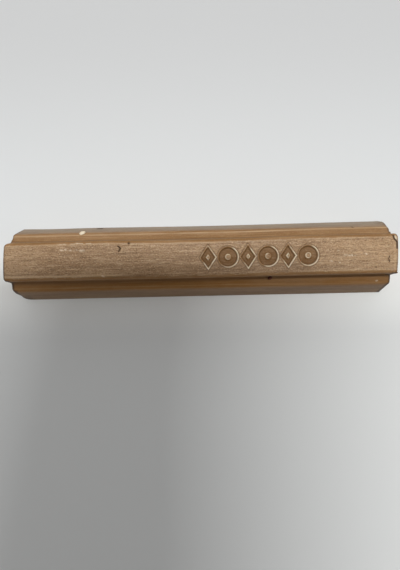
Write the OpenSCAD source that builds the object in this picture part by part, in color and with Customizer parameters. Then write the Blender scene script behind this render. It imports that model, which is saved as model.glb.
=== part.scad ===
// A stick of hard wax for filling scratches and dents in furniture, lying on its flat base.
// It is one poured and pressed bar: a raised land along the top, a sloping wall and a rebate
// on each side of it, and flanks that spread down to the base. It runs along X, with the
// stamped marks nearer the +X end, and the middle of its underside is the origin.
// All lengths are in millimetres.

/* [Bar] */
// Length from one cut end to the other
bar_l = 80; // [50:1:120]
// Width across the base, before its lower edges are rounded
base_w = 16.2; // [13.4:0.1:20]
// Height from the underside to the land
bar_h = 9.5; // [7.8:0.1:12]
// Round along the lower edges of the base
base_edge_r = 0.25; // [0.1:0.05:0.6]

/* [Land and rebates] */
// Width of the raised land along the top, before its edges are rounded
land_w = 7.9; // [6.8:0.1:9]
// Round along the two worn edges of the land
land_edge_r = 0.7; // [0.3:0.05:1]
// Drop from the land to the foot of its walls
rebate_d = 3.8; // [2.4:0.1:4.8]
// How far each wall leans out between the land and its foot
wall_lean = 0.4; // [0.2:0.05:0.8]
// Hollow round where a wall runs out into its rebate
foot_r = 0.5; // [0.2:0.1:1.2]
// Width across the two shoulders
shoulder_w = 12; // [11.2:0.1:13.2]
// Fall of a rebate from the foot of its wall to the shoulder
rebate_fall = 0.4; // [0.1:0.1:1]
// Round along each shoulder
shoulder_r = 0.7; // [0.2:0.1:1]

/* [Cut ends] */
// How far both cuts are turned from square, in degrees
cut_skew = 2; // [-4:0.5:4]
// Round where the land turns down into a cut end
end_top_r = 0.4; // [0.1:0.1:1]
// Round along the foot of a cut end
end_foot_r = 0.25; // [0.1:0.05:0.6]
// Round on the upright corners of the base
corner_r = 0.8; // [0.2:0.1:1.5]
// Length worn off each corner of the land
land_wear = 0.6; // [0.3:0.1:1.4]

/* [Stamped marks] */
// Number of marks in the row, which starts with a lozenge and then alternates with rings
mark_count = 6; // [2:1:7]
// Distance between the centres of neighbouring marks
mark_pitch = 4.05; // [3.8:0.05:4.8]
// Distance from the marked end to the centre of the nearest mark
row_start = 18.2; // [8:0.1:22]
// Outer diameter of a ring at the land
ring_d = 4.4; // [3.4:0.1:4.6]
// Width of a lozenge at the land, along the stick
lozenge_w = 3.6; // [2.8:0.1:4.4]
// Distance from each point of a lozenge to the side of the land
mark_margin = 1.3; // [1:0.1:1.6]
// Depth of a mark's floor below the land
mark_depth = 0.45; // [0.3:0.05:0.8]
// Width of the soft rim that leads down into a mark
rim_w = 0.25; // [0.1:0.05:0.4]
// Depth of the soft rim
rim_d = 0.12; // [0.05:0.01:0.2]
// How far the wall under the rim leans in
mark_lean = 0.12; // [0.05:0.01:0.2]
// Size of the island in the middle of a mark, as a share of the floor around it
island_share = 0.42; // [0.25:0.01:0.6]

/* [Stuck crumbs] */
// Distance from the plain end to the pale flake on the +Y shoulder
flake_x = 14.8; // [4:0.1:30]
// Length of the pale flake along the shoulder
flake_l = 1.2; // [0.6:0.1:2]
// Width of the pale flake over the shoulder
flake_w = 1; // [0.6:0.1:1.6]
// How far the pale flake stands off the shoulder
flake_t = 0.3; // [0.15:0.05:0.6]
// Turn of the pale flake on its seat, in degrees
flake_turn = 18; // [-45:1:45]
// Distance from the marked end to the dark crumb in the -Y rebate
crumb_x = 25.4; // [6:0.1:40]
// Diameter of the largest grain of the dark crumb
crumb_d = 0.7; // [0.4:0.1:1.2]

/* [Hidden] */

// Sides that stand in for a full round, and for one of the small grains
round_sides = 48;
grain_sides = 16;
// Every cut runs this far past the face that it opens
overrun = 0.2;
// Most of an edge that the round at one of its ends may take up
edge_share = 0.45;
// Width of an island's top, as a share of its foot
island_top_share = 0.8;

// Section through one side, as distances from the middle and heights
foot_y = land_w / 2 + wall_lean;
foot_z = bar_h - rebate_d;
shoulder_y = shoulder_w / 2;
shoulder_z = foot_z - rebate_fall;

// Corners of the section on the +Y side, from the base up to the land, and their rounds
side_corners = [[base_w / 2, 0], [shoulder_y, shoulder_z], [foot_y, foot_z], [land_w / 2, bar_h]];
side_rounds = [base_edge_r, shoulder_r, foot_r, land_edge_r];

// Place along the stick of a cut, -1 for the plain end and 1 for the marked end
function end_x(end, y) = end * bar_l / 2 + y * tan(cut_skew);

// Corner of the base seen from above, turned so that both cuts lie square
function turned_corner(end, side) =
    [end * bar_l * cos(cut_skew) / 2, (end * bar_l * sin(cut_skew) + side * base_w / cos(cut_skew)) / 2];

// Half of a lozenge along the stick and across it, and the distance from its centre to a side
lozenge_x = lozenge_w / 2;
lozenge_y = land_w / 2 - mark_margin;
lozenge_in = lozenge_x * lozenge_y / norm([lozenge_x, lozenge_y]);

// Rim inset at a depth below the land, and wall inset at a depth below the rim
function rim_inset(depth) = rim_w * depth / rim_d;
function wall_inset(depth) = rim_w + mark_lean * (depth - rim_d) / (mark_depth - rim_d);

// Outline of the flake, as shares of its length and width
flake_shares = [
    [-0.5, -0.1], [-0.3, -0.42], [0.12, -0.5], [0.46, -0.24],
    [0.5, 0.16], [0.18, 0.5], [-0.34, 0.4]];
// The flake reaches this far into the shoulder before the bar is taken out of it
flake_root = shoulder_r + flake_w / 2;
// Lean of the flake, midway between the rebate and the flank
flake_lean = 45;

// Grains of the dark crumb, as shares of its largest grain: place along, across and up, and size
grain_shares = [[0, 0, 0.25, 1], [0.45, -0.2, 0.18, 0.7], [-0.4, -0.3, 0.15, 0.6]];

function unit(v) = v / norm(v);
function half_angle(a, b, c) = acos(unit(a - b) * unit(c - b)) / 2;
function is_outer(a, b, c) = cross(b - a, c - b) > 0;

// The round that fits corner b: the one asked for, or less where an edge beside it is short
function fitted(a, b, c, r) =
    min(r, edge_share * min(norm(a - b), norm(c - b)) * tan(half_angle(a, b, c)));

// Ends of the round on corner b, and the centre of its circle
function tangents(a, b, c, r) =
    let (reach = r / tan(half_angle(a, b, c)))
    [b + unit(a - b) * reach, b + unit(c - b) * reach];
function centre(a, b, c, r) =
    b + unit(unit(a - b) + unit(c - b)) * r / sin(half_angle(a, b, c));

// A closed outline whose corners, listed anticlockwise, are rounded by true arcs
module rounded_outline(corners, rounds) {
    count = len(corners);
    trios = [for (i = [0 : count - 1])
        [corners[(i + count - 1) % count], corners[i], corners[(i + 1) % count]]];
    radii = [for (i = [0 : count - 1]) fitted(trios[i][0], trios[i][1], trios[i][2], rounds[i])];
    difference() {
        union() {
            polygon([for (i = [0 : count - 1])
                each tangents(trios[i][0], trios[i][1], trios[i][2], radii[i])]);
            for (i = [0 : count - 1])
                if (is_outer(trios[i][0], trios[i][1], trios[i][2]))
                    translate(centre(trios[i][0], trios[i][1], trios[i][2], radii[i]))
                        circle(r = radii[i], $fn = round_sides);
        }
        for (i = [0 : count - 1])
            if (!is_outer(trios[i][0], trios[i][1], trios[i][2]))
                translate(centre(trios[i][0], trios[i][1], trios[i][2], radii[i]))
                    circle(r = radii[i], $fn = round_sides);
    }
}

// Section of the stick, looking along it
module section() {
    count = len(side_corners);
    other_side = [for (i = [count - 1 : -1 : 0]) [-side_corners[i][0], side_corners[i][1]]];
    other_rounds = [for (i = [count - 1 : -1 : 0]) side_rounds[i]];
    rounded_outline(concat(side_corners, other_side), concat(side_rounds, other_rounds));
}

// Outline of the stick from the side, square to the cuts, with softened ends
module side_view() {
    half = bar_l * cos(cut_skew) / 2;
    rounded_outline(
        [[-half, 0], [half, 0], [half, bar_h], [-half, bar_h]],
        [end_foot_r, end_foot_r, end_top_r, end_top_r]);
}

// Outline of the stick from above, turned with the cuts, with softened corners
module top_view() {
    rounded_outline(
        [turned_corner(-1, -1), turned_corner(1, -1), turned_corner(1, 1), turned_corner(-1, 1)],
        [corner_r, corner_r, corner_r, corner_r]);
}

// Wedge that takes the sharp corner off the land, following the lean of the wall
module land_corner_cut() {
    size = land_w;
    translate([-land_wear, 0, 0])
        rotate([atan(wall_lean / rebate_d), 0, 0])
            rotate([0, 0, 45])
                translate([0, -size / 2, -rebate_d])
                    cube([size, size, size]);
}

// The bar before it is stamped
module blank() {
    intersection() {
        rotate([90, 0, 90])
            linear_extrude(height = bar_l + base_w, center = true)
                section();
        rotate([0, 0, -cut_skew])
            intersection() {
                rotate([90, 0, 0])
                    linear_extrude(height = bar_l, center = true)
                        side_view();
                linear_extrude(height = bar_h)
                    top_view();
            }
    }
}

// A solid that narrows from one inset to another, for a lozenge or for a ring
module lozenge_step(inset_low, inset_high, height) {
    low = 1 - inset_low / lozenge_in;
    high = 1 - inset_high / lozenge_in;
    corners = [[lozenge_x, 0], [0, lozenge_y], [-lozenge_x, 0], [0, -lozenge_y]];
    linear_extrude(height = height, scale = high / low)
        polygon(corners * low);
}
module ring_step(inset_low, inset_high, height) {
    cylinder(h = height, d1 = ring_d - 2 * inset_low, d2 = ring_d - 2 * inset_high, $fn = round_sides);
}
module step(is_lozenge, inset_low, inset_high, height) {
    if (is_lozenge)
        lozenge_step(inset_low, inset_high, height);
    else
        ring_step(inset_low, inset_high, height);
}

// One stamped mark: a soft rim, a steeper wall, a flat floor and an island left standing
module mark(is_lozenge) {
    half = is_lozenge ? lozenge_in : ring_d / 2;
    floor_half = half - wall_inset(mark_depth);
    difference() {
        union() {
            translate([0, 0, -rim_d])
                step(is_lozenge, rim_inset(rim_d), rim_inset(-overrun), rim_d + overrun);
            translate([0, 0, -mark_depth])
                step(is_lozenge, wall_inset(mark_depth), wall_inset(-overrun), mark_depth + overrun);
        }
        translate([0, 0, -mark_depth - overrun])
            step(
                is_lozenge,
                half - floor_half * island_share,
                half - floor_half * island_share * island_top_share,
                mark_depth + overrun - rim_d);
    }
}

module mark_row() {
    for (i = [0 : mark_count - 1])
        translate([bar_l / 2 - row_start - (mark_count - 1 - i) * mark_pitch, 0, bar_h])
            mark(i % 2 == 0);
}

// The stick itself
module wax_bar() {
    color([0.62, 0.46, 0.34])
        difference() {
            blank();
            for (end = [-1, 1])
                for (side = [-1, 1])
                    translate([end_x(end, side * land_w / 2), side * land_w / 2, bar_h])
                        mirror([end < 0 ? 1 : 0, 0, 0])
                            mirror([0, side < 0 ? 1 : 0, 0])
                                land_corner_cut();
            mark_row();
        }
}

// Flake of pale wax stuck over the +Y shoulder
module pale_wax_flake() {
    color([0.85, 0.76, 0.62])
        difference() {
            translate([flake_x - bar_l / 2, shoulder_y, shoulder_z])
                rotate([-flake_lean, 0, 0])
                    rotate([0, 0, flake_turn])
                        translate([0, 0, -flake_root])
                            linear_extrude(height = flake_root + flake_t)
                                polygon([for (share = flake_shares)
                                    [share[0] * flake_l, share[1] * flake_w]]);
            blank();
        }
}

// Crumb of darker wax lodged at the foot of the -Y wall
module dark_wax_crumb() {
    color([0.28, 0.13, 0.09])
        difference() {
            translate([bar_l / 2 - crumb_x, -foot_y, foot_z])
                hull()
                    for (grain = grain_shares)
                        translate([grain[0], grain[1], grain[2]] * crumb_d)
                            sphere(d = grain[3] * crumb_d, $fn = grain_sides);
            blank();
        }
}

wax_bar();
pale_wax_flake();
dark_wax_crumb();
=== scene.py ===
# %% [markdown]
# # A stick of hard wax for mending furniture
#
# The real thing is one casting: a flat base, a rebate along each side, a raised land on top and a
# row of marks pressed into the land while the wax was warm. Two crumbs of other wax are stuck to
# it. The CAD model gives the sizes. This lesson gives the stick softened edges, scraped grain and a
# waxy finish.
#
# All sizes in this file are millimetres, until a surface is written into Blender in metres. X runs
# along the stick towards the marked end, Y across it to the far side of the picture, and Z up.

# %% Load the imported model
import bpy
import numpy as np
from mathutils import Matrix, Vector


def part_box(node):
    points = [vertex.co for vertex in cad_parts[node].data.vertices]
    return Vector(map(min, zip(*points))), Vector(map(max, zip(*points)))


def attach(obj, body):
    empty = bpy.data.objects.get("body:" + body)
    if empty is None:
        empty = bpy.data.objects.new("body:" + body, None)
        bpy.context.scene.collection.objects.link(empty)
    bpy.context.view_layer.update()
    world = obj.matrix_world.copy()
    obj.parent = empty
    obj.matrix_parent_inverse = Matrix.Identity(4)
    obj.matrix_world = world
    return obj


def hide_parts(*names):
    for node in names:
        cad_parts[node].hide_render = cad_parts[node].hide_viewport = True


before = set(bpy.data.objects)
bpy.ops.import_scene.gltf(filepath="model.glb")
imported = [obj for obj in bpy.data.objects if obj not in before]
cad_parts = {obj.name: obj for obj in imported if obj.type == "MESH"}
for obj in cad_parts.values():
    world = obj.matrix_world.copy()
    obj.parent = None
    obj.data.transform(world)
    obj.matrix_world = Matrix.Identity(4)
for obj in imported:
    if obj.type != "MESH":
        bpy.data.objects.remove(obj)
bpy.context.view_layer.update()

MM = 0.001
for node in sorted(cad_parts):
    low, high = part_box(node)
    print(node, "from", [round(c / MM, 2) for c in low], "to", [round(c / MM, 2) for c in high])

# %% [markdown]
# ## The camera
#
# The photograph was taken with a phone held close above the stick, so near things are drawn clearly
# larger than far ones. The eye point and the three small turns were fitted to the corners of the
# stick. A usual phone lens could be assumed instead, but the fit also tells how high the land
# stands.

# %% Camera
PICTURE = (400, 570)
FOCAL_PIXELS = 401.07
EYE = np.array([0.028, -5.998, 90.39])
CAMERA_TURNS = {"X": -0.0056, "Y": -0.0030, "Z": 0.0217}
SENSOR = 36.0
NEAREST_SEEN = 2.0

to_camera = Matrix.Identity(3)
for axis, angle in CAMERA_TURNS.items():
    to_camera = to_camera @ Matrix.Rotation(angle, 3, axis)

camera_data = bpy.data.cameras.new("photo_camera")
camera_data.sensor_width = SENSOR
camera_data.lens = FOCAL_PIXELS / max(PICTURE) * SENSOR
camera_data.clip_start = NEAREST_SEEN * MM
camera = bpy.data.objects.new("photo_camera", camera_data)
camera.matrix_world = Matrix.Translation(EYE * MM) @ to_camera.transposed().to_4x4()
bpy.context.scene.collection.objects.link(camera)
bpy.context.scene.camera = camera
print("lens", round(camera_data.lens, 2), "mm, eye at", EYE)

# %% [markdown]
# ## From a pixel back to the stick
#
# The small wear is placed by what is seen. A line of sight through a pixel is followed down to a
# height, and where it meets that height the mark belongs. Scaling the picture alone would place
# things wrongly, because the land is nearer to the eye than the base and is drawn larger.

# %% The way back from a pixel
LAND_HEIGHT = 9.5


def seen_at(px, py, height):
    """The place where the line of sight through a pixel meets the level plane at a height.

    The line leaves the eye along (px - middle, middle - py, -focal length), turned out of the
    camera.
    """
    ray = np.array([px - PICTURE[0] / 2, PICTURE[1] / 2 - py, -FOCAL_PIXELS])
    ray = np.array(to_camera).T @ ray
    return (EYE + ray * (height - EYE[2]) / ray[2])[:2]


middle_seen = seen_at(PICTURE[0] / 2, PICTURE[1] / 2, LAND_HEIGHT)
print("middle of the picture on the land:", middle_seen.round(2))

# %% [markdown]
# ## The section of the stick
#
# The stick has the same section along its whole length. It could be drawn as a sharp outline and
# bevelled by a modifier, but every corner here has its own radius, so the outline is worked out as
# straight runs joined by true arcs. The runs are cut finely where the surface carries detail, and
# coarsely elsewhere.

# %% Corners of the section
BAR_LENGTH = 80.0
HALF_BASE = 8.1
SIDE_CORNERS = np.array([
    [0, 0], [HALF_BASE, 0], [6.0, 5.3], [4.35, 5.7], [3.95, LAND_HEIGHT], [0, LAND_HEIGHT]])
CORNER_ROUNDS = [0.25, 0.7, 0.5, 0.7]
ARC_STEPS = [4, 6, 6, 9]
RUN_SPACINGS = [1.6, 0.36, 0.12, 0.28, 0.1]
# The upper part of the stick lies above the first level, and its rounded top above the second.
SHOULDER_LEVEL, TOP_LEVEL = 5.0, 9.3


def unit(vector):
    """The vector divided by its own length."""
    return vector / np.linalg.norm(vector)


def corner_arc(before, corner, after, radius, steps):
    """The arc of a disc pushed into a corner until it touches both sides.

    It touches at radius / tan(half the corner's angle) from the corner, and the points between are
    the two touching radii mixed by sines, which keeps them on the circle.
    """
    one, two = unit(before - corner), unit(after - corner)
    half = np.arccos(one @ two) / 2
    centre = corner + unit(one + two) * radius / np.sin(half)
    first, last = (corner + side * radius / np.tan(half) - centre for side in (one, two))
    sweep = np.pi - 2 * half
    share = np.linspace(0, 1, steps)[:, None]
    mixed = np.sin((1 - share) * sweep) * first + np.sin(share * sweep) * last
    return centre + mixed / np.sin(sweep)


print("foot of the wall starts at", corner_arc(*SIDE_CORNERS[2:5], CORNER_ROUNDS[2], 2)[0].round(2))

# %% Outline of the section
def side_path():
    """Points from the middle of the base, round the +Y side, to the middle of the land.

    The arcs come first. Each straight run from one arc's end to the next one's start is then cut
    into equal steps: start + (end - start) * i / count.
    """
    sizes = zip(CORNER_ROUNDS, ARC_STEPS)
    arcs = [corner_arc(*SIDE_CORNERS[i:i + 3], *size) for i, size in enumerate(sizes)]
    stops = [SIDE_CORNERS[:1], *arcs, SIDE_CORNERS[-1:]]
    pieces = []
    for arc, following, spacing in zip(stops, stops[1:], RUN_SPACINGS):
        start, end = arc[-1], following[0]
        count = max(1, round(np.linalg.norm(end - start) / spacing))
        pieces += [arc[:-1], start + (end - start) * np.arange(count)[:, None] / count]
    return np.concatenate([*pieces, SIDE_CORNERS[-1:]])


half_path = side_path()
loop = np.concatenate([half_path, half_path[-2:0:-1] * [-1, 1]])
along_loop = np.roll(loop, -1, 0) - np.roll(loop, 1, 0)
along_loop /= np.linalg.norm(along_loop, axis=1)[:, None]
loop_out = np.stack([along_loop[:, 1], -along_loop[:, 0]], 1)
loop_y, loop_z = loop.T
outside = np.abs(loop_y)
near_side, far_side = loop_y < 0, loop_y > 0
upper_part, top_part = loop_z > SHOULDER_LEVEL, loop_z > TOP_LEVEL
print("points round the section:", len(loop))

# %% [markdown]
# ## Stations along the stick
#
# The section is repeated at stations along X. The marks need stations a tenth of a millimetre
# apart, and the plain part does not, so each stretch has its own spacing. That keeps the whole
# piece light enough.

# %% Stations
STRETCHES = [
    (-40.0, -39.0, 0.1), (-39.0, -20.4, 0.27), (-20.4, -13.4, 0.14), (-13.4, -0.8, 0.27),
    (-0.8, 24.4, 0.1), (24.4, 38.8, 0.22), (38.8, 40.0, 0.1),
]


def even_stations(start, end, step):
    """Stations from the start up to, but not at, the end: start + i * (end - start) / count."""
    count = round((end - start) / step)
    return start + np.arange(count) * (end - start) / count


stations = np.concatenate([even_stations(*stretch) for stretch in STRETCHES] + [[BAR_LENGTH / 2]])
end_side = np.where(stations < 0, -1, 1)
end_gap = (BAR_LENGTH / 2 - np.abs(stations))[:, None]
plain_end, marked_end = (end_side < 0)[:, None], (end_side > 0)[:, None]
print("stations:", len(stations), "grid points:", len(stations) * len(loop))

# %% [markdown]
# ## Soft shares
#
# Wax has no sudden changes, so everything that differs from place to place is multiplied by a share
# that goes smoothly from 0 to 1. Two curves are enough: a step for sides, and a hill for lines and
# spots.

# %% Step and hill
def smooth_step(value, low, high):
    """0 below low, 1 above high, and 3t^2 - 2t^3 between them, with t the share of the way."""
    share = np.clip((value - low) / (high - low), 0, 1)
    return share * share * (3 - 2 * share)


def hill(value, middle, width):
    """1 at the middle, falling away on both sides as exp(-((value - middle) / width)^2)."""
    return np.exp(-(((value - middle) / width) ** 2))


print("a step from 0 to 4 at 0, 1, 2, 3, 4:", smooth_step(np.arange(5), 0, 4).round(2))

# %% [markdown]
# ## Softened ends
#
# The ends were sliced with a warm blade. The edge of each cut is soft, and the corners seen from
# above are rubbed round, more so at the plain end. A bevel would treat them all alike. Here each
# station near an end is pulled in by the height of a quarter circle: inwards along the section for
# the edge, and across the stick for the corners.

# %% Soft edge of the cuts
EDGE_ROUND = 0.28


def quarter_drop(gap, radius):
    """How far a quarter circle of the radius has fallen at a distance from where it ends.

    It is radius - sqrt(radius^2 - (radius - gap)^2), and nothing once the gap is wider than the
    radius.
    """
    inside = np.clip(radius - gap, 0, radius)
    return radius - np.sqrt(radius ** 2 - inside ** 2)


edge_in = quarter_drop(end_gap, EDGE_ROUND) * (0.75 + 0.25 * smooth_step(loop_z, 0.1, 0.8))
print("the edge is pulled in by up to", round(float(edge_in.max()), 2), "mm")

# %% Rubbed corners
# For each end (-1 is the plain one) and side (-1 is the near one): how far the corner is pulled in,
# and how far along the stick that goes.
BASE_CORNERS = {
    (-1, -1): (0.95, 2.6), (-1, 1): (0.35, 0.35), (1, -1): (0.15, 0.15), (1, 1): (0.3, 0.4)}
SHOULDER_CORNERS = {
    (-1, -1): (0.6, 0.6), (-1, 1): (0.35, 0.35), (1, -1): (0.15, 0.15), (1, 1): (0.8, 0.9)}
LAND_CORNERS = {
    (-1, -1): (0.25, 0.4), (-1, 1): (0.55, 1.5), (1, -1): (-0.1, 0.6), (1, 1): (0.5, 0.7)}


def corner_drop(rounds):
    """The quarter drop of each corner, at the stations and on the side that belong to it."""
    drop = np.zeros((len(stations), len(loop)))
    for (end, side), (depth, reach) in rounds.items():
        here = (end_side == end)[:, None] & (np.sign(loop_y) == side)
        drop = np.where(here, quarter_drop(end_gap, reach) * depth / reach, drop)
    return drop


in_base = np.where(loop_z > 0.3, 1 - smooth_step(loop_z, 0.8, 4.6), outside / HALF_BASE)
in_shoulder = hill(loop_z, 5.2, 1.2) * smooth_step(outside, 4.5, 5.6)
in_land = smooth_step(loop_z, 5.9, 8.5) * smooth_step(outside, 1.2, 3.6)
across_in = sum(corner_drop(rounds) * share for rounds, share in (
    (BASE_CORNERS, in_base), (SHOULDER_CORNERS, in_shoulder), (LAND_CORNERS, in_land)))
print("corners rubbed in by up to", round(float(across_in.max()), 2), "mm")

# %% [markdown]
# ## Walls out of true
#
# Wax shrinks as it sets, and a mould is never quite even. The far wall leans in more towards the
# middle, the foot of the near wall stands further in, and the far edge of the base is drawn in.
# Some wax was smeared into the far wall's foot, and the far flank swells at the marked end. Each is
# one product: a size, a share along the stick and a share round the section.

# %% Uneven walls and base
SMEARED, SMEARED_AT_ENDS, SWELLING = 0.15, 0.35, 0.35
far_flank = loop_y > 5

smear = SMEARED + SMEARED_AT_ENDS * hill(end_gap, 0, 0.8)
smear = hill(np.hypot(loop_y - 4.4, loop_z - 5.7), 0, 0.6) * smear
swelled = SWELLING * hill(loop_z, 2.4, 1.5) * far_flank * marked_end * hill(end_gap, 0, 1.2)
in_wall = upper_part * (1 - smooth_step(outside, 4.5, 5.2))

lean = 0.17 + 0.12 * hill(stations, -4, 10) - 0.12 * hill(stations, -19, 5)
lean = (lean - 0.24 * smooth_step(stations, 6, 26))[:, None]
higher = 0.3 + 0.7 * smooth_step(loop_z, 5.6, TOP_LEVEL)
far_lean = lean * in_wall * higher * np.clip(loop_y / 3.6, 0, 1)

foot_in = (0.27 + 0.2 * smooth_step(stations, -8, 22)[:, None]) * smooth_step(end_gap, 0, 2.5)
foot_in = foot_in * in_wall * near_side * (1 - smooth_step(loop_z, 5.9, 8.8))

base_in = 0.2 * hill(stations, 0, 22) + 0.12 * hill(stations, -33, 7)
base_in = base_in[:, None] * far_flank * (1 - smooth_step(loop_z, 0.5, 5.0))
print("far wall leans in by up to", round(float(far_lean.max()), 2), "mm")

# %% Section at every station
out = smear + swelled - edge_in
y = loop_y + loop_out[:, 0] * out - np.sign(loop_y) * across_in - far_lean + foot_in - base_in
z = loop_z + loop_out[:, 1] * out
print("width at the plain end:", round(float(np.ptp(y[0])), 2), "mm")

# %% [markdown]
# ## Bowed cuts
#
# A blade pushed by hand through warm wax runs a little askew and bows in the upper part. At the
# marked end it drew the near side out and left a small burr on the land's corner. A boolean with a
# bent blade could do it, but moving the stations near the end keeps the surface in one piece.

# %% Bowed cuts
CUT_SKEW = np.tan(np.radians(2))
CUT_BOW, BOW_REACH = 0.12, 2.0
BURR, DRAWN_OUT = 0.45, 0.25


def from_square(y, z):
    """How far the cut lies behind its flat place: bow * (y / 3.5)^2, in the upper part only."""
    return CUT_BOW * (np.minimum(np.abs(y), 3.9) / 3.5) ** 2 * smooth_step(z, 5.0, 8.5)


near_cut = 1 - smooth_step(end_gap, 0, BOW_REACH)
x = stations[:, None] - end_side[:, None] * from_square(y, z) * near_cut + y * CUT_SKEW
burr = hill(end_gap, 0, 0.25) * hill(loop_y, -4.0, 0.25) * hill(loop_z, 8.6, 0.5)
x = x + marked_end * (BURR * burr + DRAWN_OUT * near_cut * smooth_step(-y, 3.6, 5.0))
print("length over all:", round(float(np.ptp(x)), 2), "mm")

# %% [markdown]
# ## Uneven wax
#
# Cast wax is never quite true. The land was scraped along its length, which leaves grooves far
# longer than they are wide, and the walls keep fine lines from the mould. Random heights on a
# stretched lattice, eased from point to point, give both. The seeds are fixed, so each run gives
# the same stick.

# %% Random heights
LATTICE = 64


def soft_noise(across, along, seed):
    """Smooth random heights from -1 to 1, one new height for each whole step of either value.

    Between lattice points the four nearest heights are mixed by 3t^2 - 2t^3 in both directions.
    """
    heights = np.random.default_rng(seed).uniform(-1, 1, (LATTICE, LATTICE))
    row, column = np.floor(across).astype(int), np.floor(along).astype(int)
    s, t = smooth_step(across - row, 0, 1), smooth_step(along - column, 0, 1)
    left, right = column % LATTICE, (column + 1) % LATTICE
    near, far = row % LATTICE, (row + 1) % LATTICE
    first = heights[near, left] * (1 - t) + heights[near, right] * t
    second = heights[far, left] * (1 - t) + heights[far, right] * t
    return first * (1 - s) + second * s


print("lattice:", LATTICE, "by", LATTICE, "heights")

# %% Grain, mould lines and swell
LAND_GRAIN, WALL_LINES, SWELL = 0.022, 0.012, 0.03

steps = np.linalg.norm(np.roll(loop, -1, 0) - loop, axis=1)
round_place = np.broadcast_to(np.concatenate([[0], np.cumsum(steps)[:-1]]), x.shape)
on_land = np.broadcast_to((loop_z > LAND_HEIGHT - 0.02).astype(float), x.shape)

grain = 0.5 * soft_noise(round_place / 0.24, x / 2.6, 1)
grain += 0.3 * soft_noise(round_place / 0.17, x / 0.9, 2)
grain += 0.35 * soft_noise(round_place / 0.8, x / 6.0, 3)
drawn = 0.6 * soft_noise(round_place / 0.5, x / 14.0, 4)
drawn += 0.4 * soft_noise(round_place / 0.9, x / 5.0, 5)
swell = soft_noise(round_place / 4.0, x / 9.0, 6)
height = on_land * LAND_GRAIN * (grain - 0.6) + (1 - on_land) * WALL_LINES * drawn
height = height + SWELL * (swell - 1) * 0.5
print("uneven by", round(float(np.ptp(height)), 3), "mm")

# %% Shoulder ridge and crease
RIDGE_RISE = 0.05
FAR_CREASE, NEAR_CREASE = 0.02, 0.08

patchy = soft_noise(x / 3.0, np.sign(loop_y) * 3.5, 8)
# The ridge stands up a little, and the same line is painted pale as a highlight, fainter near.
ridge = hill(outside, 5.56 + 0.3 * smooth_step(x, 5, 30), 0.13) * upper_part
ridge = ridge * (0.65 + 0.35 * patchy) * np.where(far_side, 1.0, 0.3)
crease = np.broadcast_to(hill(np.hypot(outside - 4.3, loop_z - 6.05), 0, 0.24), x.shape)
height = height + RIDGE_RISE * ridge - np.where(far_side, FAR_CREASE, NEAR_CREASE) * crease
print("relief from", round(float(height.min()), 3), "to", round(float(height.max()), 3), "mm")

# %% [markdown]
# ## The row of marks
#
# The maker presses a row of plain marks into the land: lozenges and rings in turn, each with an
# island left standing in it. They could be cut with booleans, but a height that depends on the
# distance to the outline gives the rounded lips of pressed wax. So the distance comes first.

# %% Where the marks lie
FIRST_MARK, MARK_PITCH, MARKS = 1.55, 4.05, 6
MARK_PLACES = FIRST_MARK + MARK_PITCH * np.arange(MARKS)
LOZENGE = (1.8, 2.65)
LOZENGE_REACH = LOZENGE[0] * LOZENGE[1] / np.hypot(*LOZENGE)
RING_REACH = 2.2


def mark_field():
    """For each grid point: which mark is nearest, how deep it lies inside, and that mark's reach.

    Inside a ring's circle the depth is its radius less the distance from its middle. Inside a
    lozenge it is reach * (1 - |x| / half length - |y| / half width).
    """
    offset = x[..., None] - MARK_PLACES
    lozenge = LOZENGE_REACH * (1 - np.abs(offset) / LOZENGE[0] - np.abs(y[..., None]) / LOZENGE[1])
    ring = RING_REACH - np.hypot(offset, y[..., None])
    is_lozenge = np.arange(MARKS) % 2 == 0
    depth = np.where(is_lozenge, lozenge, ring)
    nearest = depth.argmax(-1)
    inside = np.take_along_axis(depth, nearest[..., None], -1)[..., 0]
    return nearest, inside, np.where(is_lozenge[nearest], LOZENGE_REACH, RING_REACH)


nearest_mark, mark_in, reach = mark_field()
print("grid points in a mark:", int(((mark_in > 0) & (on_land > 0)).sum()))

# %% [markdown]
# ## How deep a mark goes
#
# The die pushes a soft rim, then a steeper wall, down to a smooth floor, and leaves an island in
# the middle. Wax that it pushed aside stands as a bead inside the rim, with a faint groove round
# it. The pressing smooths the grain as well, so the relief made so far fades on the floor.

# %% Rim, wall, floor and island
RIM_DEPTH, FLOOR_DEPTH, BEAD, GROOVE = 0.06, 0.45, 0.07, 0.08
WALL_INSET, ISLAND_FOOT_SHARE, ISLAND_TOP_SHARE = 0.37, 0.42, 0.336
ISLAND_SOFT, PRESSED_SMOOTH = 0.08, 0.8

floor_reach = reach - WALL_INSET
island_foot = reach - ISLAND_FOOT_SHARE * floor_reach
island_top = reach - ISLAND_TOP_SHARE * floor_reach
island = smooth_step(mark_in, island_foot - ISLAND_SOFT, island_top + ISLAND_SOFT)
walled = smooth_step(mark_in, 0.22, 0.46)
beads = np.maximum(hill(mark_in, 0.16, 0.1), hill(mark_in, island_top + 0.1, 0.1))
groove = hill(mark_in, -0.06, 0.09)
drop = RIM_DEPTH * smooth_step(mark_in, 0.0, 0.2) + (FLOOR_DEPTH - RIM_DEPTH) * (walled - island)
sunk = on_land * (walled - island)
height = height * (1 - PRESSED_SMOOTH * sunk) + on_land * (BEAD * beads - GROOVE * groove - drop)
print("deepest mark:", round(float(-height.min()), 3), "mm")

# %% Painted highlights on the lips of the marks
# Lips are painted bright where glints would be: more on each mark's right-hand and near side,
facing = np.clip((x - MARK_PLACES[nearest_mark]) * 0.9 - y * 0.35, -1, 1)
# the other way round on its island, and broken by noise.
facing = facing * np.where(island > 0.02, -1, 1)
lip_glint_share = np.clip(0.4 + 0.6 * facing + 0.5 * soft_noise(x / 0.7, y / 0.7, 13), 0, 1)
rim = on_land * beads * lip_glint_share
print("points on a pale lip:", int((rim > 0.5).sum()))
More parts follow.
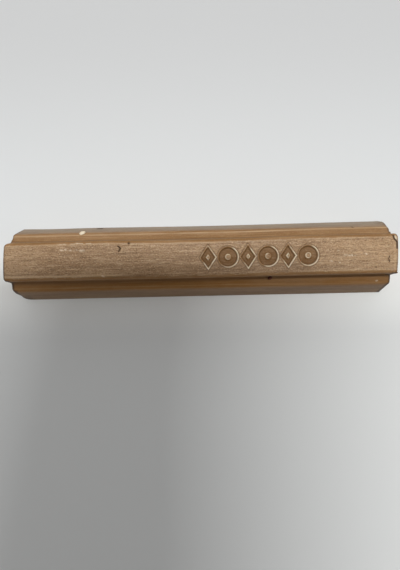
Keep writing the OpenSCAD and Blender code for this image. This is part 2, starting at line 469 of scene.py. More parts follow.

# %% [markdown]
# ## Painted shade
#
# Shade is painted into the wax's colour where little light reaches: round the marks, on the walls,
# in the crease at their foot, low on the near side and over the near half of the land. It could be
# painted by hand. Here it is a number at each point of the skin, made of the same steps and hills,
# which the finish reads as a colour share.

# %% Painted shade on the walls and in the crease
# Painted shade that deepens down the near wall, and along its top edge towards the marked end.
near_wall_painted_shade = np.maximum(
    0.55 * (1 - smooth_step(loop_z, 6.5, 9.3)),
    (0.08 + 0.28 * smooth_step(x, 5, 30)) * (1 - smooth_step(loop_z, 9.0, 9.4)))
# A little painted shade on the far wall.
wall_painted_shade = np.where(far_side, 0.2 * hill(loop_z, 7.8, 1.5), near_wall_painted_shade)
wall_painted_shade = wall_painted_shade * in_wall * (outside > 3.6) * (loop_z < 9.4)
# Painted shade in the crease, strongest on the near side towards the plain end.
crease_painted_shade = np.where(far_side, 0.2, 0.95 - 0.8 * smooth_step(x, 5, 28)) * crease
# Painted shade low on the near side, towards the marked end.
low_painted_shade = 0.22 * smooth_step(x, 3, 25) * near_side * (loop_z < 6)
print("darkest on a wall:", round(float(wall_painted_shade.max()), 2))

# %% Painted shade on the land and round the marks
# Painted shade over the near half of the land.
land_painted_shade = 0.2 * smooth_step(x, -20, -15) - 0.1 * smooth_step(x, 20.5, 24)
land_painted_shade = land_painted_shade + 0.12 * hill(x, 19.8, 2.5)
land_painted_shade = land_painted_shade * smooth_step(-loop_y, 0.6, 2.2) * top_part * (1 - sunk)
# Painted shade in the groove round each mark and at the foot of its wall.
mark_painted_shade = on_land * np.maximum(0.8 * groove, 0.75 * hill(mark_in, 0.40, 0.11))
painted_shade = np.maximum.reduce([crease_painted_shade, wall_painted_shade, low_painted_shade, land_painted_shade, mark_painted_shade])
print("mean grime:", round(float(painted_shade.mean()), 3))

# %% [markdown]
# ## Nicks, specks and dabs
#
# A used stick carries small accidents: a crescent nick, dark specks, a chip at the marked end and
# pale dabs where dust was rubbed in. Each is a stroke between pixels of the picture, carried down
# to the stick. It bends the surface and marks the wax in a channel of its own, which the finish
# reads.

# %% Strokes
STROKE_FADE = 0.5


def stroke(pixels, level, width):
    """1 on a line through pixels of the picture, falling away as exp(-(distance / width)^2).

    The distance to each straight part is taken to the nearest point between its ends, seen from
    above, and the stroke also fades half a millimetre above and below its level.
    """
    places = [seen_at(px, py, level) for px, py in pixels]
    nearest = np.full(x.shape, np.inf)
    for start, end in zip(places, places[1:] if len(places) > 1 else places):
        run = end - start
        share = ((x - start[0]) * run[0] + (y - start[1]) * run[1]) / max(run @ run, 1e-9)
        share = np.clip(share, 0, 1)
        gap = np.hypot(x - start[0] - share * run[0], y - start[1] - share * run[1])
        nearest = np.minimum(nearest, gap)
    return hill(nearest, 0, width) * hill(z, level, STROKE_FADE) * (z > 0.3)


print("points near the chip:", int((stroke([(394.9, 236.6)], 9.3, 0.4) > 0.5).sum()))

# %% Dark accidents
# Pixels, level, width and depth of the nick, three specks, a scratch, the notch and the chip.
DARK_STROKES = [
    ([(117.8, 246.2), (120.4, 248.3), (118.6, 251.2)], 9.5, 0.12, 0.12),
    ([(129.0, 243.4)], 9.2, 0.24, 0.1),
    ([(376.0, 267.0)], 9.5, 0.12, 0.05),
    ([(352.8, 226.5)], 5.2, 0.2, 0.04),
    ([(389.5, 256.0), (388.8, 258.5), (389.6, 261.5)], 9.5, 0.09, 0.06),
    ([(97.9, 228.9), (102.3, 228.7)], 0.9, 0.2, 0.1),
    # The chip's dark line is partly painted shade, along its outline and down the end's edge.
    ([(393.0, 235.8), (393.8, 238.6), (395.4, 240.3), (396.6, 241.8), (396.9, 248.0)],
     9.3, 0.15, 0.1),
]
CHIP_GLINT = [(394.9, 236.6), (395.6, 238.6)]
DARK_STRENGTH = 1.8

dark = np.zeros(x.shape)
for pixels, level, width, depth in DARK_STROKES:
    mark = stroke(pixels, level, width)
    dark = np.maximum(dark, np.clip(DARK_STRENGTH * mark, 0, 1))
    height = height - depth * mark
# The chip gets a painted highlight as well.
rim = np.maximum(rim, stroke(CHIP_GLINT, 9.3, 0.18))
print("points under dark strokes:", int((dark > 0.5).sum()))

# %% Pale dabs
# Pixels, level and width of each dab.
PALE_STROKES = [
    ([(60.5, 250.3), (62.0, 250.0)], 9.5, 0.13), ([(65.0, 249.9), (66.0, 250.0)], 9.5, 0.14),
    ([(69.5, 250.5), (71.0, 250.5)], 9.5, 0.1), ([(75.0, 250.4), (76.5, 250.2)], 9.5, 0.12),
    ([(80.5, 251.0), (84.0, 250.8)], 9.5, 0.2), ([(345.0, 254.8), (346.5, 254.9)], 9.5, 0.14),
    ([(349.5, 255.4)], 9.5, 0.13), ([(352.0, 255.0)], 9.5, 0.16), ([(355.0, 255.6)], 9.5, 0.14),
    ([(376.2, 281.0), (377.2, 280.4)], 5.5, 0.11), ([(102.5, 276.0), (104.0, 276.4)], 9.2, 0.13),
    ([(128.0, 291.3)], 5.5, 0.11), ([(59.0, 244.6), (66.0, 244.2)], 9.45, 0.07),
    ([(70.0, 244.4), (76.0, 243.3), (83.0, 243.6)], 9.45, 0.08),
    ([(86.0, 243.4), (91.0, 243.2)], 9.45, 0.06),
    ([(331.0, 261.0), (332.0, 261.2)], 9.5, 0.12), ([(338.5, 250.4)], 9.5, 0.13),
    ([(366.0, 253.5), (367.0, 254.2)], 9.5, 0.11), ([(340.0, 262.5)], 9.5, 0.12),
    ([(355.0, 247.8)], 9.5, 0.1),
]
DAB_RISE = 0.02

crumbled = np.clip(0.5 + 0.6 * soft_noise(x / 0.3, y / 0.2, 10), 0, 1)
pale = np.zeros(x.shape)
for pixels, level, width in PALE_STROKES:
    mark = stroke(pixels, level, width) * crumbled
    pale = np.maximum(pale, mark)
    height = height + DAB_RISE * mark
print("points under pale dabs:", int((pale > 0.3).sum()))

# %% [markdown]
# ## The skin of the stick
#
# A skin is rings of points joined into faces. Each end is closed by rings that shrink to one point,
# so that no hole is left and the volume can be measured. A negative volume shows a skin that is
# inside out.

# %% Closed skins from rings
def closed_skin(name, rings, first_pole, last_pole):
    """A closed surface through rings of points, with a single point closing each end.

    rings[i, j] is point j round ring i. Four neighbours make a face, and the points next to a pole
    make triangles with it. The volume is a sixth of the sum of the faces' triple products, and a
    negative one means that the faces look inwards, so they are turned.
    """
    count, around = rings.shape[:2]
    points = np.concatenate([[first_pole], rings.reshape(-1, 3), [last_pole]])
    ids = 1 + np.arange(count * around).reshape(count, around)
    beside = np.roll(ids, -1, 1)
    quads = np.stack([ids[:-1], beside[:-1], beside[1:], ids[1:]], -1).reshape(-1, 4)
    fans = np.concatenate([
        np.stack([np.zeros_like(ids[0]), beside[0], ids[0]], -1),
        np.stack([np.full_like(ids[0], len(points) - 1), ids[-1], beside[-1]], -1)])
    corners = np.concatenate([quads[:, [0, 1, 2]], quads[:, [0, 2, 3]], fans])
    a, b, c = points[corners].transpose(1, 0, 2)
    volume = float(np.einsum("ij,ij->i", a, np.cross(b, c)).sum() / 6)
    if volume < 0:
        quads, fans = quads[:, ::-1], fans[:, ::-1]
    mesh = bpy.data.meshes.new(name)
    mesh.from_pydata((points * MM).tolist(), [], quads.tolist() + fans.tolist())
    mesh.shade_smooth()
    piece = bpy.data.objects.new(name, mesh)
    bpy.context.scene.collection.objects.link(piece)
    print(f"{name}: {len(corners)} triangles, {abs(volume):.1f} cubic mm")
    return piece


# %% [markdown]
# ## The stick with its cut ends
#
# The heights push the surface along the section's own outward direction, and settle to nothing at
# the cuts. Over a cut the end ring shrinks towards the middle. The blade dragged fine ripples
# there, so the shrunk rings are sunk by a little noise that runs aslant. No point may leave the CAD
# model's box.

# %% Rings of the stick
HALF_WIDTH, OVERHANG = 7.98, 0.25
CUT_RINGS = np.array([0.985, 0.94, 0.86, 0.74, 0.6, 0.46, 0.32, 0.18, 0.07])
CUT_MIDDLE = np.array([0.0, 4.0])
CUT_RIPPLE = 0.02

settle = smooth_step(end_gap, 0.0, 0.5)
y = y + loop_out[:, 0] * height * settle
z = z + loop_out[:, 1] * height * settle
high_limit = np.array([BAR_LENGTH / 2 + OVERHANG, HALF_WIDTH, LAND_HEIGHT])
low_limit = high_limit * [-1, -1, 0]
body_rings = np.clip(np.stack([x, y, z], -1), low_limit, high_limit)


def cut_rings(end):
    """Rings over a cut: middle + (end ring - middle) * share, sunk along X by bow and ripple."""
    ring = body_rings[0 if end < 0 else -1][:, 1:]
    shrunk = CUT_MIDDLE + (ring - CUT_MIDDLE) * CUT_RINGS[:, None, None]
    ry, rz = shrunk[..., 0], shrunk[..., 1]
    ripple = soft_noise((ry * 0.5 + rz) / 0.45, (ry - rz * 0.5) / 5.0, 7 + end) * 0.5 + 0.5
    ripple = ripple * smooth_step(1 - CUT_RINGS, 0, 0.12)[:, None]
    depth = from_square(ry, rz) + CUT_RIPPLE * ripple
    return np.stack([end * (BAR_LENGTH / 2 - depth) + ry * CUT_SKEW, ry, rz], -1)


left_cut, right_cut = cut_rings(-1)[::-1], cut_rings(1)
rings = np.clip(np.concatenate([left_cut, body_rings, right_cut]), low_limit, high_limit)
poles = [np.array([end * (BAR_LENGTH / 2 - CUT_RIPPLE / 2), *CUT_MIDDLE]) for end in (-1, 1)]
stick = closed_skin("stick_of_wax", rings, *poles)
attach(stick, "root")
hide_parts("wax_bar")

# %% [markdown]
# ## Scraped places, rubbed places and painted highlights
#
# A scraper took the shine off the land, almost to its edges, and left a ragged border. Fingers and
# the box then rubbed the marked end pale. The shoulders and the land's edges carry a pale line that
# is partly rubbed wear and partly painted highlight, where those edges catch the light. Masks could
# be painted on an unwrapped skin, but these places follow the section, so shares round it and along
# it draw them sharper.

# %% Scraped land, rubbed edges and painted edge highlights
SCRAPED_TO, BORDER_SOFT = 3.35, 0.12

reach_out = 0.32 * hill(x, -3, 14) + 0.15 * (1 - smooth_step(x, -28, -20))
ragged = SCRAPED_TO + 0.2 * soft_noise(x / 0.7, np.sign(loop_y) * 1.5, 9) + near_side * reach_out
scraped = (loop_z > 8) * (1 - smooth_step(outside, ragged - BORDER_SOFT, ragged + BORDER_SOFT))
scraped = scraped * (1 - smooth_step(mark_in, 0.0, 0.25) + 0.6 * island)

# Painted highlight on the land's edges: most near the plain end on the near side, evenly far.
edge_light_share = 0.8 * (1 - smooth_step(x, -20, -12)) + 0.25 * smooth_step(x, 14, 22)
edge_light_share = np.where(near_side, edge_light_share, 0.4)
scuff_place, scuff_width = np.where(near_side, 3.2, 3.25), np.where(near_side, 0.2, 0.14)
land_edge = (loop_z > 8) * hill(outside, scuff_place, scuff_width) * edge_light_share
worn_end = hill(end_gap, 0.75, 0.18) * marked_end * top_part * 0.3
wear_and_highlight = np.maximum(np.maximum(ridge, worn_end), land_edge)
print("share of the skin that is scraped:", round(float((scraped > 0.5).mean()), 2))

# %% [markdown]
# ## Painted shade on the edges of the cuts
#
# A thin line of shade is painted along the edge of each cut, where the rounded edge turns away from
# the light. It is widest on the near wall and at the foot of the plain end, and fainter on the far
# side and on the land, so its width and its strength are set for each part of the section.

# %% Painted shade on the cut edges
EDGE_LEAST, EDGE_FADE = 0.15, 0.4

on_flank = smooth_step(outside, 5.7, 6.2)
on_wall = (loop_z > 5.9) * (loop_z < TOP_LEVEL)
on_shelf = (loop_z > 4.9) * (loop_z <= 5.9)

near_full = np.where(plain_end, 0.6, 0.35) * on_flank + 0.85 * on_wall
near_full = near_full + np.where(plain_end, 0.25, 0.05) * on_shelf
far_full = 0.15 * on_flank + 0.2 * marked_end * (on_wall + on_shelf)
edge_full = EDGE_LEAST + near_side * near_full + ~near_side * far_full
cut_edge_shade = 1 - smooth_step(end_gap, edge_full, edge_full + EDGE_FADE)

# Painted shadow at the foot of the plain end on the near side.
foot_shade = near_side * plain_end * hill(loop_z, 0, 1.8) * (1 - smooth_step(end_gap, 2.2, 3.6))
edge_share = np.where(near_side, 1.0, 0.6) * (loop_z > 0.1)
edge_share = edge_share * np.where(marked_end & top_part, 0.5, 1.0)
cut_edge_shade = np.maximum(cut_edge_shade, foot_shade) * edge_share
cut_edge_shade = cut_edge_shade * (0.85 + 0.15 * soft_noise(round_place / 0.6, end_gap + 3, 14))
print("dark edge up to", round(float(edge_full.max()) + EDGE_FADE, 2), "mm wide")

# %% Channels for the finish
def add_channel(piece, name, values):
    """A number for each vertex of a closed skin. A pole gets the mean of the ring beside it."""
    spread = np.concatenate([[values[0].mean()], values.ravel(), [values[-1].mean()]])
    stored = piece.data.attributes.new(name, "FLOAT", "POINT")
    stored.data.foreach_set("value", spread.astype(np.float32))


channels = {
    "scraped": scraped, "sunk": sunk, "rim": rim, "ridge": wear_and_highlight, "shade": painted_shade, "dark": dark,
    "pale": pale, "edge": cut_edge_shade,
    "flank": 1 - smooth_step(loop_z, 3.8, 5.1),
    "far_sheen": far_side * (loop_z < 6) * (1 - 0.88 * smooth_step(loop_z, 1.0, 5.4)),
    "near": near_side * (loop_z < 9),
    "cut": np.zeros(x.shape),
}
for name, values in channels.items():
    cut_values = np.full(left_cut.shape[:2], float(name == "cut"))
    values = np.concatenate([cut_values, np.broadcast_to(values, x.shape), cut_values])
    add_channel(stick, name, values)
print("channels:", ", ".join(channels))

# %% [markdown]
# ## The two stuck crumbs
#
# A fleck of cream wax sits on the far shoulder and a dark crumb is lodged at the foot of the near
# wall. Both are lumps: a ball whose radius changes with direction, squeezed to its size and sunk
# into the stick. A sculpted ball would look alike, but a formula gives the same lump on each run.

# %% Lumps
LUMP_WAVES, LUMP_UNEVEN = 2.3, 0.07


def lump(name, middle, axes, sizes, lobes, seed, around=40, rings=22):
    """A closed lump. Its radius in a direction is 1 plus hills at the lobes and a little noise.

    Directions run over two angles, from pole to pole and round. The lump is then scaled along three
    axes and moved to its middle. Each lobe is a direction, a height and a width.
    """
    polar = (np.arange(rings) + 1)[:, None] / (rings + 1) * np.pi
    turn = np.arange(around)[None, :] / around * 2 * np.pi
    upward = np.broadcast_to(np.cos(polar), (rings, around))
    ball = np.stack([np.sin(polar) * np.cos(turn), np.sin(polar) * np.sin(turn), upward], -1)

    def radius(direction):
        """1 plus a hill for each lobe, times 1 plus a little noise."""
        out = np.ones(direction.shape[:-1])
        for towards, rise, width in lobes:
            off = np.linalg.norm(direction - unit(np.array(towards)), axis=-1)
            out = out + rise * hill(off, 0, width)
        across = direction[..., 0] * LUMP_WAVES + 9 + direction[..., 2]
        along = direction[..., 1] * LUMP_WAVES + 9
        return out * (1 + LUMP_UNEVEN * soft_noise(across, along, seed))

    def place(direction):
        """The middle plus the scaled direction, turned into the lump's own axes."""
        return middle + (radius(direction)[..., None] * direction * sizes) @ axes

    top, bottom = np.array([0, 0, 1.0]), np.array([0, 0, -1.0])
    return closed_skin(name, place(ball), place(top), place(bottom))


# %% Pale fleck
FLECK_LEAN, FLECK_TURN = np.radians(38), np.radians(18)
FLECK_SIZES = np.array([0.60, 0.46, 0.24])
FLECK_LOBES = [((1, 0.5, 0.2), 0.25, 0.7), ((-0.3, -1, 0.3), 0.3, 0.6), ((-1, 0.6, 0), -0.2, 0.5)]
FLECK_SEEN, FLECK_LEVEL = (82, 233, 5.3), 5.22

lean_cos, lean_sin = np.cos(FLECK_LEAN), np.sin(FLECK_LEAN)
turn_cos, turn_sin = np.cos(FLECK_TURN), np.sin(FLECK_TURN)
fleck_axes = np.array([
    [turn_cos, turn_sin * lean_cos, -turn_sin * lean_sin],
    [-turn_sin, turn_cos * lean_cos, -turn_cos * lean_sin],
    [0, lean_sin, lean_cos]])
fleck_middle = np.array([*seen_at(*FLECK_SEEN), FLECK_LEVEL])
fleck = lump("pale_fleck", fleck_middle, fleck_axes, FLECK_SIZES, FLECK_LOBES, 11)
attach(fleck, "root")
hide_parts("pale_wax_flake")

# %% Dark crumb
CRUMB_SIZES = np.array([0.38, 0.38, 0.52])
CRUMB_LOBES = [((1, -0.2, 0.2), 0.3, 0.5), ((-0.8, -0.5, 0), 0.25, 0.5), ((0, 0.3, 1), 0.15, 0.5)]
CRUMB_SEEN, CRUMB_LEVEL = (269.9, 277.7, 6.2), 6.1

crumb_middle = np.array([*seen_at(*CRUMB_SEEN), CRUMB_LEVEL])
crumb = lump("dark_crumb", crumb_middle, np.eye(3), CRUMB_SIZES, CRUMB_LOBES, 12)
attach(crumb, "root")
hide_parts("dark_wax_crumb")

# %% [markdown]
# ## Finishes
#
# A finish is a small graph of shader nodes. Each node could be added by hand in the editor. A few
# helpers keep the graphs readable here: they add a node with its settings and inputs, remap and mix
# values, and make grain, which is noise on object coordinates stretched along the stick.

# %% Helpers that add nodes
def add_node(tree, kind, inputs, **settings):
    """A shader node of a kind. Each input is a number, a colour or another node's output."""
    node = tree.nodes.new("ShaderNode" + kind)
    for name, value in settings.items():
        setattr(node, name, value)
    for name, value in inputs.items():
        if isinstance(value, bpy.types.NodeSocket):
            tree.links.new(value, node.inputs[name])
        else:
            node.inputs[name].default_value = value
    return node


def math(tree, operation, one, two):
    """A sum, product or other operation on two values."""
    return add_node(tree, "Math", {0: one, 1: two}, operation=operation).outputs[0]


def remap(tree, value, low, high, to_low, to_high):
    """The value carried from one range to another, smoothly and held at the ends."""
    return add_node(tree, "MapRange", {
        "Value": value, "From Min": low, "From Max": high, "To Min": to_low, "To Max": to_high},
        interpolation_type="SMOOTHSTEP").outputs["Result"]


def blend_colours(tree, share, one, two):
    """Colour one mixed with colour two: one * (1 - share) + two * share."""
    return add_node(tree, "Mix", {0: share, 6: one, 7: two}, data_type="RGBA").outputs[2]


# %% Helpers that read the piece
def object_place(tree):
    """The node that gives X, Y and Z on the object, in metres."""
    return add_node(tree, "SeparateXYZ", {0: add_node(tree, "TexCoord", {}).outputs["Object"]})


def stretched_noise(tree, scales, detail=3.0, roughness=0.55, offset=(0, 0, 0)):
    """Noise with so many waves in a millimetre along X, Y and Z."""
    fitted = add_node(tree, "Mapping", {
        "Vector": add_node(tree, "TexCoord", {}).outputs["Object"],
        "Location": offset, "Scale": [scale / MM for scale in scales]}).outputs[0]
    return add_node(tree, "TexNoise", {
        "Vector": fitted, "Scale": 1.0, "Detail": detail, "Roughness": roughness}).outputs["Fac"]


def channel(tree, name, strength=None):
    """A number stored on the vertices, times a strength if one is given."""
    stored = add_node(tree, "Attribute", {}, attribute_name=name).outputs["Fac"]
    return stored if strength is None else math(tree, "MULTIPLY", stored, strength)


def start_finish(name):
    """An empty finish with its shader, and its graph."""
    material = bpy.data.materials.new(name)
    material.use_nodes = True
    return material, material.node_tree, material.node_tree.nodes["Principled BSDF"]


def waxy(shader, ior, depth, colour_depths, weight):
    """Sets how light enters the wax: its weight, and its depth in millimetres times a colour."""
    shader.inputs["IOR"].default_value = ior
    shader.inputs["Subsurface Weight"].default_value = weight
    shader.inputs["Subsurface Radius"].default_value = colour_depths
    shader.inputs["Subsurface Scale"].default_value = depth * MM


# %% [markdown]
# ## Tan wax
#
# The bare wax is a deep orange brown and faintly shiny. Light and shade are painted into it too: a
# redder colour on the near side for its shade, greyer and darker flanks for their sheen and shade,
# and a grey painted sheen low on the far flank. Scraping turns it paler, greyer and matte. So the
# colour starts from the bare wax and moves, place by place, to what was done to it there and to the
# light painted on it.

# %% Colours of the tan wax
BARE_WAX = (0.256, 0.123, 0.034, 1)
# Painted shade: the near side is more saturated, as the shade there takes away its sheen.
NEAR_SIDE_SHADED_WAX = (0.256, 0.106, 0.010, 1)
# Painted sheen and shade: the flanks are greyer and darker than the bare wax.
FLANK_PAINTED_SHEEN = (0.210, 0.123, 0.062, 1)
# Painted sheen: grey low on the far flank, which catches the light at a grazing angle.
FAR_FLANK_SHEEN = (0.341, 0.288, 0.219, 1)
SCRAPED_WAX = (0.325, 0.184, 0.081, 1)
# Paler wax for grain and rubbed wear, also used for painted light and painted highlights.
RUBBED_WAX_AND_PAINTED_LIGHT = (0.62, 0.42, 0.24, 1)
# Painted highlight on the lips of the marks and on the chip.
LIP_HIGHLIGHT = (0.98, 0.84, 0.62, 1)
CHALKY_WAX = (0.92, 0.79, 0.60, 1)
# Pressed floors of the marks, darkened further by painted shade in the hollows.
SUNK_WAX_AND_SHADE = (0.155, 0.068, 0.014, 1)
# Dark grain, also used for painted shade.
DEEP_WAX_AND_PAINTED_SHADE = (0.12, 0.057, 0.018, 1)
# Dark specks, also used for the painted shade along the cut edges.
SPECK_AND_PAINTED_SHADE = (0.052, 0.026, 0.012, 1)

tan_finish, tree, shader = start_finish("tan_wax_finish")
scraped_share, on_cut = channel(tree, "scraped"), channel(tree, "cut")
along = object_place(tree).outputs["X"]

base = blend_colours(tree, channel(tree, "near"), BARE_WAX, NEAR_SIDE_SHADED_WAX)
base = blend_colours(tree, channel(tree, "flank"), base, FLANK_PAINTED_SHEEN)
base = blend_colours(tree, channel(tree, "far_sheen", 0.55), base, FAR_FLANK_SHEEN)
base = blend_colours(tree, scraped_share, base, SCRAPED_WAX)
# Painted light: the land is paler towards both ends, where more light reaches it.
plain_end_light = remap(tree, along, -40 * MM, -28 * MM, 0.30, 0.0)
marked_end_light = remap(tree, along, 21 * MM, 27 * MM, 0.0, 0.2)
painted_end_light = math(tree, "MULTIPLY", math(tree, "ADD", plain_end_light, marked_end_light), scraped_share)
base = blend_colours(tree, painted_end_light, base, RUBBED_WAX_AND_PAINTED_LIGHT)
base = blend_colours(tree, channel(tree, "sunk", 0.85), base, SUNK_WAX_AND_SHADE)
print("tan wax, ground:", len(tree.nodes), "nodes")

# %% [markdown]
# ## Grain of the tan wax
#
# The scraper left light and dark fibres along the land, and the mould long faint lines on the rest.
# The blade left drags across the cuts instead. Each is a noise of its own stretch: its crests move
# the colour towards rubbed wax and its valleys towards deep wax, where that kind of mark belongs.

# %% Grain of the tan wax
fibres = stretched_noise(tree, (0.6, 4.6, 4.6), 3.0, 0.65)
grains = stretched_noise(tree, (3.0, 5.2, 5.2), 3.0, 0.65, (3, 5, 1))
lines = stretched_noise(tree, (0.08, 2.8, 2.8), 2.0, 0.55, (4, 1, 6))
dragged = stretched_noise(tree, (1.0, 0.25, 1.6), 3.0, 0.6, (2, 8, 3))
clouds = stretched_noise(tree, (0.09, 0.22, 0.22), 3.0, 0.5, (1, 2, 7))

# The grain is also painted fainter on the near side, which lies in shade.
coarse = remap(tree, scraped_share, 0.0, 1.0, 0.22, 1.0)
coarse = math(tree, "SUBTRACT", coarse, channel(tree, "cut", 0.22))
coarse = math(tree, "SUBTRACT", coarse, channel(tree, "near", 0.12))
calm = math(tree, "MAXIMUM", on_cut, channel(tree, "near", 0.4))
faint = math(tree, "SUBTRACT", math(tree, "SUBTRACT", 1.0, channel(tree, "sunk", 0.8)), calm)

for noise, light, deep, where in (
        (fibres, 0.8, 0.7, coarse), (grains, 0.95, 0.8, coarse),
        (lines, 0.25, 0.35, faint), (dragged, 0.2, 0.35, on_cut)):
    light_share = math(tree, "MULTIPLY", remap(tree, noise, 0.52, 0.72, 0.0, light), where)
    base = blend_colours(tree, light_share, base, RUBBED_WAX_AND_PAINTED_LIGHT)
    deep_share = math(tree, "MULTIPLY", remap(tree, noise, 0.48, 0.30, 0.0, deep), where)
    base = blend_colours(tree, deep_share, base, DEEP_WAX_AND_PAINTED_SHADE)
base = blend_colours(tree, remap(tree, clouds, 0.4, 0.65, 0.0, 0.08), base, RUBBED_WAX_AND_PAINTED_LIGHT)
print("tan wax, with grain:", len(tree.nodes), "nodes")

# %% Painted shade and highlights, rubbing and specks over the grain
# Painted shade over the land, much lighter past the marks towards the marked end.
painted_shade_along = remap(tree, along, 18 * MM, 28 * MM, 0.11, 0.02)
painted_shade_along = math(tree, "MULTIPLY", painted_shade_along, scraped_share)
base = blend_colours(tree, painted_shade_along, base, DEEP_WAX_AND_PAINTED_SHADE)
# Then painted shade, painted lip highlights, wear and painted highlights on the edges, painted
# shade on the cut edges, pale dabs and dark specks.
for name, strength, colour in (
        ("shade", None, DEEP_WAX_AND_PAINTED_SHADE), ("rim", 0.85, LIP_HIGHLIGHT), ("ridge", 0.8, RUBBED_WAX_AND_PAINTED_LIGHT),
        ("edge", 0.95, SPECK_AND_PAINTED_SHADE), ("pale", None, CHALKY_WAX), ("dark", None, SPECK_AND_PAINTED_SHADE)):
    base = blend_colours(tree, channel(tree, name, strength), base, colour)
tree.links.new(base, shader.inputs["Base Color"])
print("tan wax, with wear:", len(tree.nodes), "nodes")

# %% [markdown]
# ## Shine and depth of the tan wax
#
# Light goes a little way into wax, so it gets some subsurface scattering, deepest in red. Rubbed
# lips are smoother and the dark specks rougher than the rest. The finest grain is bump only, a
# twentieth of a millimetre, because as real geometry it would need millions of faces.

# %% Shine and bump of the tan wax
GRAIN_DEPTH = 0.05

rough = remap(tree, scraped_share, 0.0, 1.0, 0.56, 0.45)
rough = math(tree, "ADD", rough, remap(tree, fibres, 0.3, 0.7, 0.06, -0.06))
rough = math(tree, "ADD", rough, channel(tree, "sunk", 0.1))
rough = math(tree, "ADD", rough, channel(tree, "dark", 0.4))
polish = math(tree, "MAXIMUM", channel(tree, "rim"), channel(tree, "ridge"))
rough = math(tree, "SUBTRACT", rough, math(tree, "MULTIPLY", polish, 0.2))
tree.links.new(rough, shader.inputs["Roughness"])
waxy(shader, 1.43, 0.6, (1.0, 0.5, 0.22), 0.12)

bump_height = math(tree, "MULTIPLY", math(tree, "ADD", fibres, grains), coarse)
bump_height = math(tree, "ADD", bump_height, math(tree, "MULTIPLY", dragged, on_cut))
bump = add_node(tree, "Bump", {
    "Strength": 1.0, "Distance": GRAIN_DEPTH * MM, "Height": bump_height})
tree.links.new(bump.outputs[0], shader.inputs["Normal"])
stick.data.materials.append(tan_finish)
print("tan wax:", len(tree.nodes), "nodes")

# %% [markdown]
# ## Pale and dark wax
#
# The crumbs are wax of other colours, which nothing has scraped. Both are mottled by noise with the
# same spacing in every direction, since they were torn off and not drawn. The pale one is the
# glossier.

# %% Pale and dark wax
PALE_WAX, PALE_SHADE = (0.86, 0.76, 0.58, 1), (0.72, 0.58, 0.40, 1)
DARK_WAX, DARK_SHADE = (0.10, 0.022, 0.008, 1), (0.035, 0.007, 0.004, 1)
MOTTLE_WAVES, MOTTLE_DEPTH = 2.2, 0.03


def crumb_finish(name, light, deep, roughness, gloss):
    """Two shades mottled by noise, on a waxy shader."""
    material, tree, shader = start_finish(name)
    mottle = stretched_noise(tree, [MOTTLE_WAVES] * 3, 3.0, 0.6)
    colour = blend_colours(tree, remap(tree, mottle, 0.35, 0.65, 0.0, 1.0), deep, light)
    tree.links.new(colour, shader.inputs["Base Color"])
    rough = remap(tree, mottle, 0.3, 0.7, roughness + 0.08, roughness - 0.08)
    tree.links.new(rough, shader.inputs["Roughness"])
    shader.inputs["Specular IOR Level"].default_value = gloss
    waxy(shader, 1.44, 0.4, (1.0, 0.7, 0.4), 0.1)
    bump = add_node(tree, "Bump", {
        "Strength": 0.5, "Distance": MOTTLE_DEPTH * MM, "Height": mottle})
    tree.links.new(bump.outputs[0], shader.inputs["Normal"])
    return material


fleck.data.materials.append(crumb_finish("pale_wax_finish", PALE_WAX, PALE_SHADE, 0.42, 0.5))
crumb.data.materials.append(crumb_finish("dark_wax_finish", DARK_WAX, DARK_SHADE, 0.6, 0.15))
print("finishes:", ", ".join(sorted(material.name for material in bpy.data.materials)))

# %% [markdown]
# ## The table
#
# The stick lies on a plain white table that runs far beyond the picture. A single grey would do,
# but light and shade are painted into its colour in wide soft bands across the stick: lighter just
# in front of the stick and darker far behind it. Aside from the stick it goes back to one plain
# grey.

# %% Table
FLOOR_REACH = 2000.0
PAINTED_LIGHT_BESIDE_STICK, PAINTED_LIGHT_MOTTLED = (0.935, 0.94, 0.915, 1), (0.95, 0.95, 0.93, 1)
NEAR_TABLE, FAR_TABLE = (0.79, 0.795, 0.785, 1), (0.745, 0.755, 0.755, 1)
PAINTED_SHADE_FAR_OFF, ASIDE_TABLE = (0.60, 0.60, 0.60, 1), (0.66, 0.66, 0.66, 1)


def flat_sheet(name, outline, height):
    """One level face through the corners of an outline."""
    mesh = bpy.data.meshes.new(name)
    corners = [(px * MM, py * MM, height * MM) for px, py in outline]
    mesh.from_pydata(corners, [], [tuple(range(len(outline)))])
    sheet = bpy.data.objects.new(name, mesh)
    bpy.context.scene.collection.objects.link(sheet)
    return sheet


table = flat_sheet("table", [(-FLOOR_REACH, -FLOOR_REACH), (FLOOR_REACH, -FLOOR_REACH),
                             (FLOOR_REACH, FLOOR_REACH), (-FLOOR_REACH, FLOOR_REACH)], 0.0)
table_finish, tree, shader = start_finish("white_table_finish")
mottle = stretched_noise(tree, (0.05, 0.05, 0.05), 2.0, 0.5)
place = object_place(tree)
across, aside = place.outputs["Y"], math(tree, "ABSOLUTE", place.outputs["X"], 0.0)
# Painted light: a lighter strip just in front of the stick lifts the shade at its foot.
colour = blend_colours(tree, remap(tree, mottle, 0.3, 0.7, 0.0, 1.0), PAINTED_LIGHT_BESIDE_STICK, PAINTED_LIGHT_MOTTLED)
beside = remap(tree, across, -18 * MM, -8 * MM, 0.0, 1.0)
colour = blend_colours(tree, beside, NEAR_TABLE, colour)
# Painted shade: darker behind the stick and far off, then plain grey aside.
for value, low, high, farther in (
        (across, -8, 8, FAR_TABLE), (across, 2, 60, PAINTED_SHADE_FAR_OFF),
        (aside, 47, 130, ASIDE_TABLE)):
    farther_share = remap(tree, value, low * MM, high * MM, 0.0, 1.0)
    colour = blend_colours(tree, farther_share, colour, farther)
tree.links.new(colour, shader.inputs["Base Color"])
shader.inputs["Roughness"].default_value = 0.6
shader.inputs["Specular IOR Level"].default_value = 0.3
table.data.materials.append(table_finish)
print("table:", 2 * FLOOR_REACH * MM, "m square")

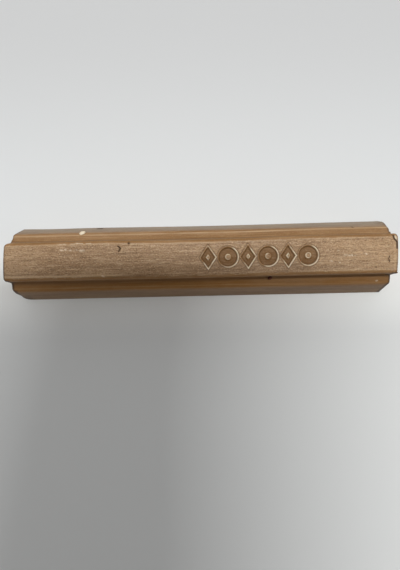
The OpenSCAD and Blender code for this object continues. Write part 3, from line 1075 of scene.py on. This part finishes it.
# %% [markdown]
# ## The shade on the near side
#
# The phone that took the picture hides part of the lamp from the near side of the table. A plain
# grey card above the camera does the same here. It narrows towards the near end, so that the shade
# fades away there instead of ending in a line, and the camera itself doesn't see it.

# %% Card that shades the near side
CARD_HEIGHT = 110.0
CARD_OUTLINE = [
    (-88, -110), (-30, -360), (23, -110), (23, -13), (27, 11), (0, 15.4), (-45, 15), (-58, 9),
    (-64, -13)]
CARD_GREY = (0.24, 0.24, 0.24, 1)

card = flat_sheet("shade_card", CARD_OUTLINE, CARD_HEIGHT)
card_finish, tree, shader = start_finish("shade_card_finish")
shader.inputs["Base Color"].default_value = CARD_GREY
card.data.materials.append(card_finish)
card.visible_camera = False
print("card", CARD_HEIGHT, "mm above the table")

# %% [markdown]
# ## The lamp
#
# A long ceiling lamp stands a little beyond the stick. It is wide along the stick and narrow across
# it, which blurs shadows sideways but keeps the shade's edge along the stick. A round lamp would
# blur both.

# %% Lamp
LAMP_DISTANCE = 1050.0
LAMP_LEAN = np.radians(8.5)
LAMP_LENGTH, LAMP_WIDTH = 600.0, 60.0
LAMP_WATTS, LAMP_COLOUR = 6.9, (0.985, 1.0, 1.0)

lamp_data = bpy.data.lights.new("ceiling_lamp", "AREA")
lamp_data.shape = "RECTANGLE"
lamp_data.size, lamp_data.size_y = LAMP_LENGTH * MM, LAMP_WIDTH * MM
lamp_data.energy = LAMP_WATTS
lamp_data.color = LAMP_COLOUR
lamp = bpy.data.objects.new("ceiling_lamp", lamp_data)
straight_up = Matrix.Translation((0, 0, LAMP_DISTANCE * MM))
lamp.matrix_world = Matrix.Rotation(-LAMP_LEAN, 4, "X") @ straight_up
bpy.context.scene.collection.objects.link(lamp)
print("lamp at", [round(c / MM) for c in lamp.matrix_world.translation])

# %% [markdown]
# ## The room
#
# Walls and ceiling send back soft light, more from the far side than from the near one. A room
# could be built round the table, but a world whose strength changes with direction costs nothing.
# The camera and reflections see one even grey, so the background stays plain.

# %% Room light
NEAR_ROOM, FAR_ROOM, SEEN_ROOM = 0.32, 0.58, 0.65

world = bpy.data.worlds.new("studio")
world.use_nodes = True
tree = world.node_tree
path = add_node(tree, "LightPath", {})
mirrored = math(tree, "MAXIMUM", path.outputs["Is Glossy Ray"], path.outputs["Is Transmission Ray"])
seen = math(tree, "MAXIMUM", path.outputs["Is Camera Ray"], mirrored)
direction = add_node(tree, "TexCoord", {}).outputs["Generated"]
towards = add_node(tree, "SeparateXYZ", {0: direction}).outputs["Y"]
ambient = add_node(tree, "MapRange", {
    "Value": towards, "From Min": -1.0, "From Max": 1.0, "To Min": NEAR_ROOM, "To Max": FAR_ROOM})
strength = add_node(tree, "Mix", {0: seen, 2: ambient.outputs["Result"], 3: SEEN_ROOM}).outputs[0]
tree.links.new(strength, tree.nodes["Background"].inputs["Strength"])
tree.nodes["Background"].inputs["Color"].default_value = (1.0, 1.0, 1.0, 1)
bpy.context.scene.world = world
bpy.context.scene.view_settings.view_transform = "Standard"
print("room light from", NEAR_ROOM, "to", FAR_ROOM)
